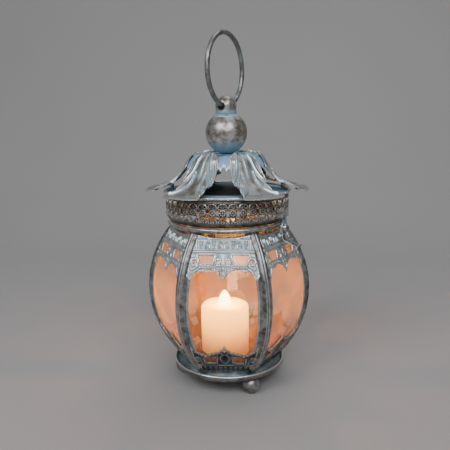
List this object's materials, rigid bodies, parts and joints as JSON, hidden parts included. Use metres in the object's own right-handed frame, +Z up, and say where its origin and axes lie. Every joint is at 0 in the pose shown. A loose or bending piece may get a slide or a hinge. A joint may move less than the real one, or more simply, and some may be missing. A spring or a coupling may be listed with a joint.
{
  "type": "hanging lantern",
  "caption": "Hanging candle lantern: bulbous six-sided glass cage on a footed dish, with a hinged pierced lid, leaf crown, ball finial and wire hanging ring.",
  "frame": {"origin": "on the ground under the middle of the lantern, level with the flats of its ball feet", "axes": "+Z up through the finial and the hanging ring; -Y is the front panel; +X to the right seen from the front"},
  "size_m": [0.1432, 0.1304, 0.2973],
  "materials": {
    "dish_tin": "antiqued zinc plate, blue-grey wash in the hollows",
    "cup_tin": "dull tin plate, warmed by soot",
    "foot_metal": "antiqued zinc on cast balls",
    "neck_wire": "rubbed zinc on drawn wire",
    "fretwork_tin": "stamped tin, antiqued, raised edges rubbed bright",
    "rib_tin": "rolled tin strip, antiqued, ridges rubbed bright",
    "gallery_tin": "pierced tin, darkened in the holes, bead rubbed bright",
    "roof_tin": "spun tin, dark with a blue wash near its edge",
    "crown_tin": "stamped tin leaves, blue wash in the valleys, rubbed edges",
    "ball_metal": "spun steel, zinc plated, mottled with a blue wash below",
    "ring_wire": "drawn steel wire, zinc plated, mottled",
    "latch_tin": "cut tin strip, blue-grey wash",
    "steel_hardware": "zinc plated steel hardware",
    "clear_glass": "clear bent glass, thin film of candle smoke",
    "candle_wax": "ivory paraffin wax, smooth and translucent",
    "candle_wick": "charred cotton braid"
  },
  "bodies": {
    "lantern_body": {"base_dish": "dish_tin", "neck_ring": "neck_wire", "candle_cup": "cup_tin", "cup_rivet": "steel_hardware", "foot_studs": "steel_hardware", "foot_ball_1": "foot_metal", "foot_ball_2": "foot_metal", "foot_ball_3": "foot_metal", "top_fretwork_1": "fretwork_tin", "top_fretwork_2": "fretwork_tin", "top_fretwork_3": "fretwork_tin", "top_fretwork_4": "fretwork_tin", "top_fretwork_5": "fretwork_tin", "top_fretwork_6": "fretwork_tin", "bottom_fretwork_1": "fretwork_tin", "bottom_fretwork_2": "fretwork_tin", "bottom_fretwork_3": "fretwork_tin", "bottom_fretwork_4": "fretwork_tin", "bottom_fretwork_5": "fretwork_tin", "bottom_fretwork_6": "fretwork_tin", "glass_pane_1": "clear_glass", "glass_pane_2": "clear_glass", "glass_pane_3": "clear_glass", "glass_pane_4": "clear_glass", "glass_pane_5": "clear_glass", "glass_pane_6": "clear_glass", "corner_rib_1": "rib_tin", "corner_rib_2": "rib_tin", "corner_rib_3": "rib_tin", "corner_rib_4": "rib_tin", "corner_rib_5": "rib_tin", "corner_rib_6": "rib_tin", "glass_tabs": "steel_hardware", "lower_hinge_leaf": "latch_tin", "latch_stud": "latch_tin"},
    "lid": {"gallery_band": "gallery_tin", "roof_plate": "roof_tin", "rim_bead": "gallery_tin", "crown_cap": "crown_tin", "crown_leaf_1": "crown_tin", "crown_leaf_2": "crown_tin", "crown_leaf_3": "crown_tin", "crown_leaf_4": "crown_tin", "crown_leaf_5": "crown_tin", "crown_leaf_6": "crown_tin", "big_ball": "ball_metal", "neck_collar": "ball_metal", "eyelet_ball": "ball_metal", "crown_posts": "steel_hardware", "tie_rod": "steel_hardware", "tie_nut": "steel_hardware", "upper_hinge_leaf": "latch_tin", "hinge_pin": "steel_hardware", "hasp_bracket": "latch_tin", "hasp_pin": "steel_hardware"},
    "hasp": {"hasp": "latch_tin"},
    "hanging_ring": {"hanging_ring": "ring_wire"},
    "candle": {"candle_wax": "candle_wax", "candle_wick": "candle_wick"}
  },
  "joints": [
    {"name": "lid_hinge", "type": "hinge", "parent": "lantern_body", "child": "lid", "pos_m": [-0.0485, 0.028, 0.1455], "axis": [-0.5, -0.866, 0], "range_deg": [0, 100]},
    {"name": "hasp_hinge", "type": "hinge", "parent": "lid", "child": "hasp", "pos_m": [0.04746, -0.0274, 0.151], "axis": [-0.5, -0.866, 0], "range_deg": [-8, 95]},
    {"name": "ring_swing", "type": "hinge", "parent": "lid", "child": "hanging_ring", "pos_m": [0, 0, 0.2373], "axis": [-0.4226, -0.9063, 0], "range_deg": [-135, 135]},
    {"name": "candle_lift", "type": "slide", "parent": "lantern_body", "child": "candle", "axis": [0, 0, 1], "range_m": [0, 0.08]}
  ]
}
